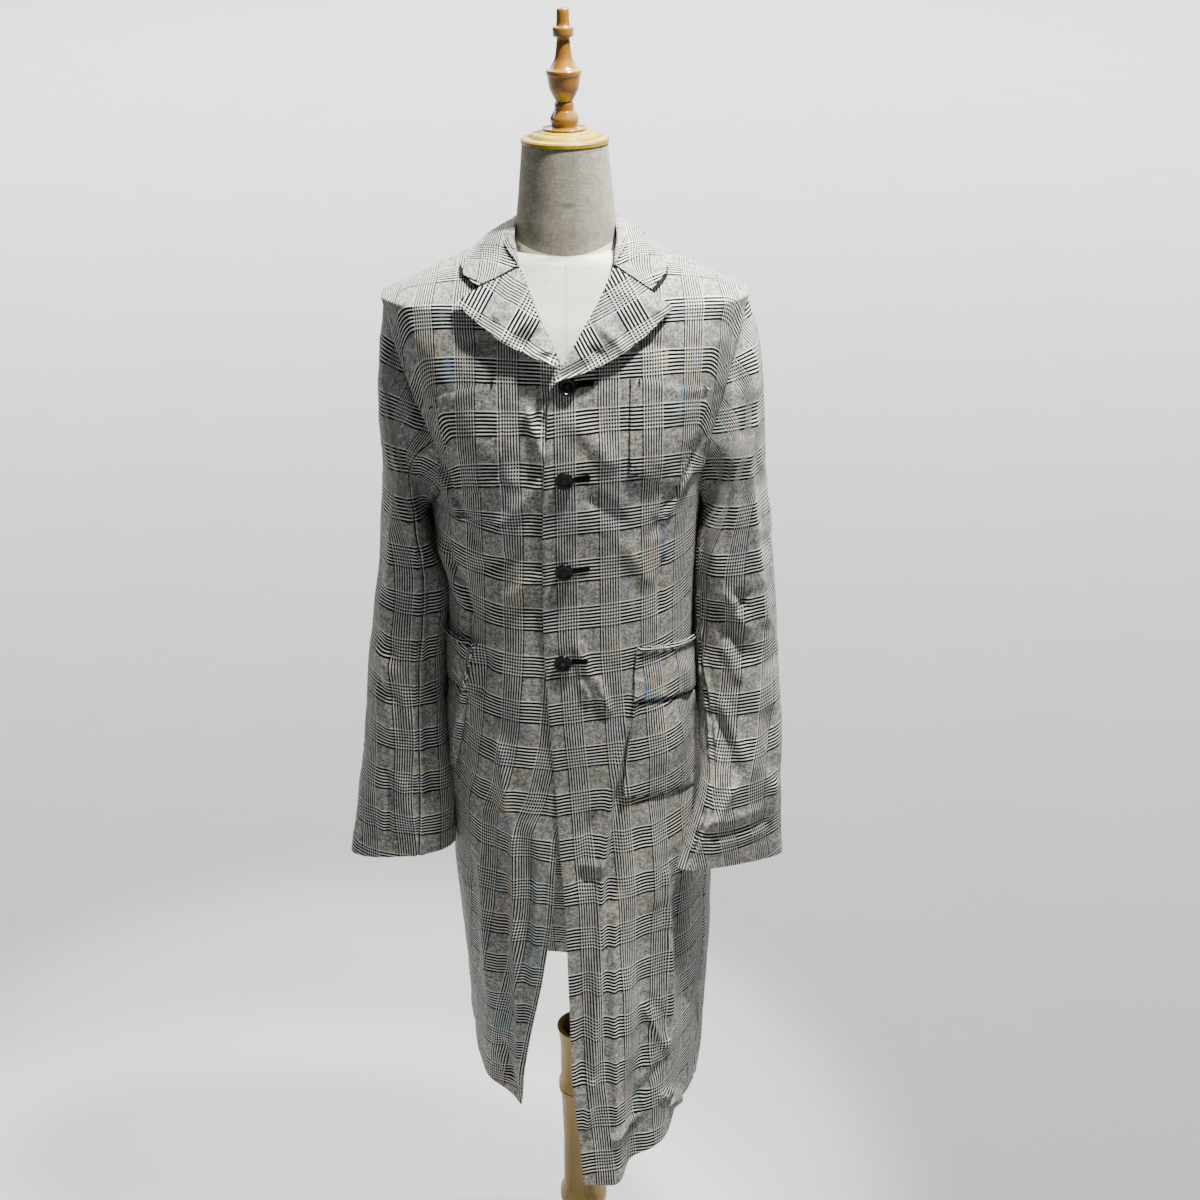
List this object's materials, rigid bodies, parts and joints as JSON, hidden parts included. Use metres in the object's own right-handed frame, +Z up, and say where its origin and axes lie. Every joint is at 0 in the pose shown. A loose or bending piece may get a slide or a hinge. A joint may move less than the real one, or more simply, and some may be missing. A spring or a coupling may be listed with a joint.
{
  "type": "half coat on dress form",
  "caption": "Knee-length single-breasted wool coat in glen check with notch lapels, patch pockets and flaps, shown open at the hem on a limbless linen dress form with a turned wooden pole and base",
  "frame": {"origin": "centre of the base's flat underside, on the axis of the pole and the form", "axes": "+Z up along the pole, -Y is the coat's front, +X is the wearer's left"},
  "size_m": [0.5424, 0.427, 1.8025],
  "materials": {
    "check_wool": "matte",
    "black_button": "polished",
    "form_linen": "matte",
    "cap_wood": "satin",
    "finial_wood": "gloss",
    "pole_wood": "satin",
    "rod_steel": "satin"
  },
  "bodies": {
    "root": {"front_left": "check_wool", "front_right": "check_wool", "back": "check_wool", "lapel_left": "check_wool", "lapel_right": "check_wool", "collar": "check_wool", "sleeve_left_top": "check_wool", "sleeve_left_under": "check_wool", "sleeve_right_top": "check_wool", "sleeve_right_under": "check_wool", "chest_pocket_left": "check_wool", "chest_pocket_right": "check_wool", "hip_pocket_left": "check_wool", "hip_pocket_right": "check_wool", "hip_flap_left": "check_wool", "hip_flap_right": "check_wool", "hip_welt_left": "check_wool", "hip_welt_right": "check_wool", "button_1": "black_button", "button_2": "black_button", "button_3": "black_button", "button_4": "black_button", "form_torso": "form_linen", "neck_cap": "cap_wood", "finial": "finial_wood", "pole": "pole_wood", "rod": "rod_steel", "base": "pole_wood"}
  },
  "joints": []
}
